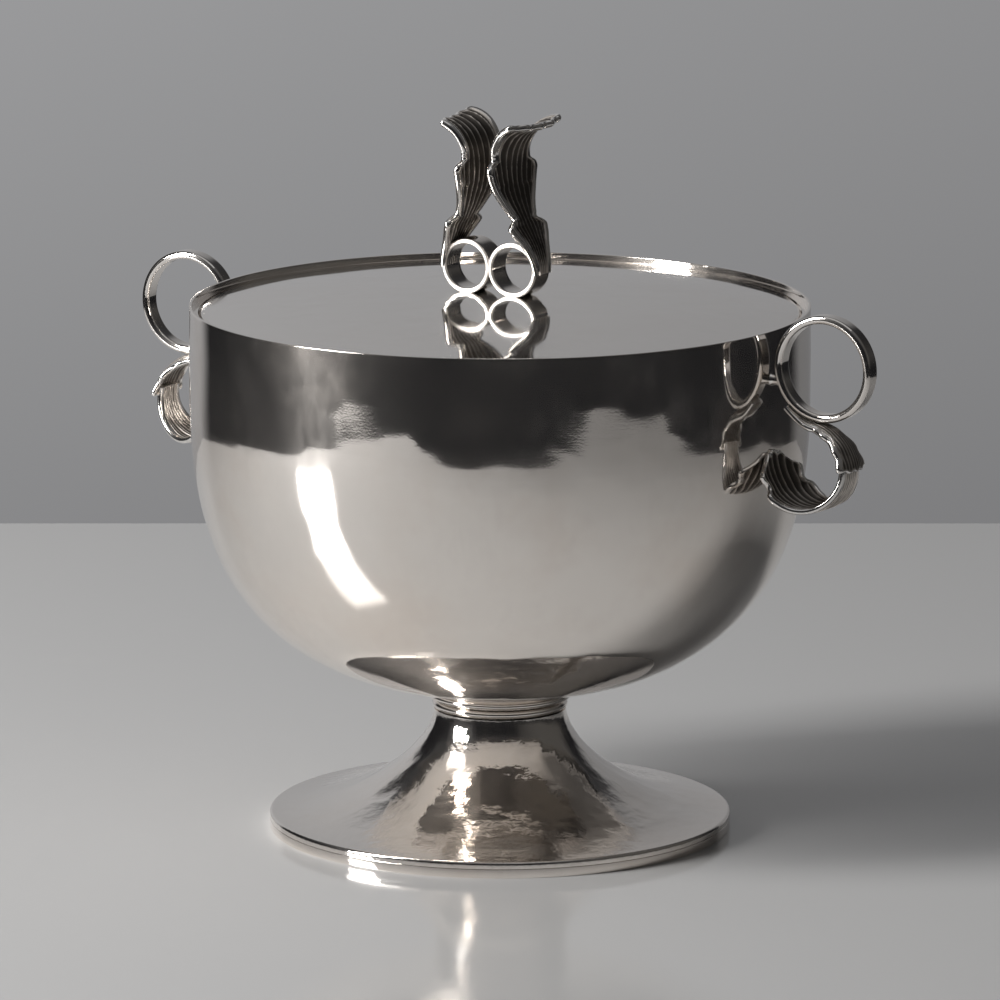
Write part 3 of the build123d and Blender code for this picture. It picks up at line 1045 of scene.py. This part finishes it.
def peg_surface(low, high):
    """A short round peg along X. Its radius grows with the square of the distance from its middle."""
    rows, columns = 24, 40
    angle = np.linspace(0.0, 2 * np.pi, columns, endpoint=False)[None, :]
    along = np.linspace(-1.0, 1.0, rows)[:, None]
    radius = (high.z - low.z) / 2
    r = radius * (0.80 + 0.20 * along**2)
    x = (low.x + high.x) / 2 + along * (high.x - low.x) / 2
    y = r * np.cos(angle)
    z = (low.z + high.z) / 2 + r * np.sin(angle)
    points = np.stack([np.broadcast_to(x, y.shape), y, z], -1).reshape(-1, 3)
    quads = grid_quads(rows, columns, False, True)
    half = np.arange(columns // 2 - 1)
    caps = []
    for start in (0, (rows - 1) * columns):
        across = start + columns - 1 - half
        caps.append(np.stack([start + half, start + half + 1, across - 1, across], -1))
    return points, np.concatenate([quads, caps[0][:, ::-1], caps[1]])


def lamp(name, energy, width, height, place, target, colour=(1.0, 1.0, 1.0)):
    """A rectangular soft light that faces a point."""
    data = bpy.data.lights.new(name, "AREA")
    data.shape = "RECTANGLE"
    data.size, data.size_y, data.energy, data.color = width, height, energy, colour
    light = bpy.data.objects.new(name, data)
    light.location = place
    light.rotation_mode = "QUATERNION"
    light.rotation_quaternion = (Vector(target) - Vector(place)).to_track_quat("-Z", "Y")
    bpy.context.scene.collection.objects.link(light)
    return light


class SUGARBOWL_OT_stage(bpy.types.Operator):
    """White glossy table, dim room with a grey backdrop, soft lights and camera."""

    bl_idname = "sugarbowl.stage"
    bl_label = "Stage"

    def execute(self, context):
        studio = context.scene.bowl_studio
        away = Vector((-np.sin(studio.azimuth), np.cos(studio.azimuth), 0.0))
        right = Vector((np.cos(studio.azimuth), np.sin(studio.azimuth), 0.0))

        camera = bpy.data.objects.new("camera", bpy.data.cameras.new("camera"))
        camera.data.lens = studio.lens
        camera.data.sensor_width = 36.0
        camera.data.clip_start, camera.data.clip_end = 0.05, 50.0
        camera.location = -away * studio.distance + Vector((0.0, 0.0, studio.height))
        camera.rotation_euler = (np.pi / 2 - studio.pitch, 0.0, studio.azimuth)
        context.scene.collection.objects.link(camera)
        context.scene.camera = camera

        front, back = -studio.table_front, studio.table_back
        left, end, deep = -studio.table_left, studio.table_right, 30.0 * MM
        cut = studio.table_corner
        outline = (
            (left + cut, front),
            (end - cut, front),
            (end, front + cut),
            (end, back - cut),
            (end - cut, back),
            (left + cut, back),
            (left, back - cut),
            (left, front + cut),
        )
        levels = [Vector((0.0, 0.0, z)) for z in (-deep, 0.0)]
        corners = [tuple(right * x + away * y + level) for level in levels for x, y in outline]
        count = len(outline)
        faces = [tuple(range(count, 2 * count)), tuple(range(count))[::-1]]
        faces += [(k, (k + 1) % count, (k + 1) % count + count, k + count) for k in range(count)]
        mesh = bpy.data.meshes.new("table")
        mesh.from_pydata(corners, [], faces)
        table = bpy.data.objects.new("table", mesh)
        context.scene.collection.objects.link(table)
        material, book = new_material("table_white")
        place = book.add("ShaderNodeTexCoord", output=3)
        scuffs = book.ramp(book.noise(place, 60.0, 5.0, 0.6), 0.45, 0.8)
        shader = book.add(
            "ShaderNodeBsdfPrincipled",
            {},
            {"Base Color": tuple(studio.table), "Roughness": 0.10 + 0.06 * scuffs, "IOR": 1.45},
        )
        book.add("ShaderNodeOutputMaterial", {}, {"Surface": shader})
        mesh.materials.append(material)

        world = bpy.data.worlds.new("studio")
        world.use_nodes = True
        context.scene.world = world
        book = NodeBook(world.node_tree)
        ray = book.add("ShaderNodeTexCoord", output=0)
        up = (0.0, 0.0, 1.0)
        ahead, level, aside = (
            book.add("ShaderNodeVectorMath", {"operation": "DOT_PRODUCT"}, {0: ray, 1: tuple(direction)}, 1)
            for direction in (away, up, right)
        )
        # The backdrop stands ahead. It is darker at its foot and towards the right.
        wall = book.ramp(ahead, 0.70, 0.84) * (0.65 + 0.35 * book.ramp(level, -0.24, -0.09))
        wall = wall * (1.35 - 0.70 * book.ramp(aside, -0.35, 0.35))
        ceiling = book.ramp(level, 0.35, 0.95)
        colour = book.mix(0.5 * wall, tuple(studio.room), tuple(c * 2.0 for c in studio.backdrop))
        colour = book.mix(0.5 * ceiling, colour, tuple(studio.ceiling))
        # The side wall fills the right, up to where the backdrop begins.
        behind = book.ramp(aside, 0.25, 0.95) * (1.0 - book.ramp(ahead, 0.30, 0.70))
        behind = behind * book.ramp(level, -0.10, 0.20)
        colour = book.mix(0.6 * behind, colour, tuple(studio.side_wall))
        light = book.add("ShaderNodeBackground", {}, {"Color": colour, "Strength": 1.0})
        book.add("ShaderNodeOutputWorld", {}, {"Surface": light})

        # The key light stands on the left, a little nearer to the camera than the bowl.
        around = (-0.95 * right - 0.31 * away).normalized()
        rise = Vector((0.0, 0.0, np.sin(studio.key_height)))
        key = studio.key_away * (around * np.cos(studio.key_height) + rise)
        warm = (1.0, 0.985, 0.97)
        target = (0.0, 0.0, 50.0 * MM)
        lamp("key", studio.key, studio.key_wide, studio.key_tall, key, target, warm)
        over, foot = (0.0, 0.0, studio.fill_height), (0.0, 0.0, 0.0)
        lamp("fill", studio.fill, studio.fill_size, studio.fill_size, over, foot)
        context.scene.view_settings.view_transform = "Standard"
        return {"FINISHED"}


STEPS = ("foot", "collar", "bowl", "lid", "finial", "handles", "stage")


class SUGARBOWL_PT_panel(bpy.types.Panel):
    """Buttons for the pieces and the settings that they read."""

    bl_idname = "SUGARBOWL_PT_panel"
    bl_label = "Sugar Bowl"
    bl_space_type = "VIEW_3D"
    bl_region_type = "UI"
    bl_category = "Sugar Bowl"

    def draw(self, context):
        for step in STEPS:
            self.layout.operator(f"sugarbowl.{step}")
        for name in SETTINGS:
            group = getattr(context.scene, name)
            box = self.layout.box()
            for key in group.bl_rna.properties.keys():
                if key not in ("rna_type", "name"):
                    box.prop(group, key)


SETTINGS = {
    "bowl_shape": BowlShape,
    "bowl_finial": FinialShape,
    "bowl_handles": HandleShape,
    "bowl_hammer": HammerMarks,
    "bowl_finish": SilverFinish,
    "bowl_studio": StudioSettings,
}
CLASSES = (
    *SETTINGS.values(),
    SUGARBOWL_OT_foot,
    SUGARBOWL_OT_collar,
    SUGARBOWL_OT_bowl,
    SUGARBOWL_OT_lid,
    SUGARBOWL_OT_finial,
    SUGARBOWL_OT_handles,
    SUGARBOWL_OT_stage,
    SUGARBOWL_PT_panel,
)


def register():
    for item in CLASSES:
        bpy.utils.register_class(item)
    for name, group in SETTINGS.items():
        setattr(bpy.types.Scene, name, PointerProperty(type=group))


def unregister():
    for name in SETTINGS:
        delattr(bpy.types.Scene, name)
    for item in reversed(CLASSES):
        bpy.utils.unregister_class(item)


def main():
    register()
    for step in STEPS:
        getattr(bpy.ops.sugarbowl, step)()


if __name__ == "__main__":
    main()
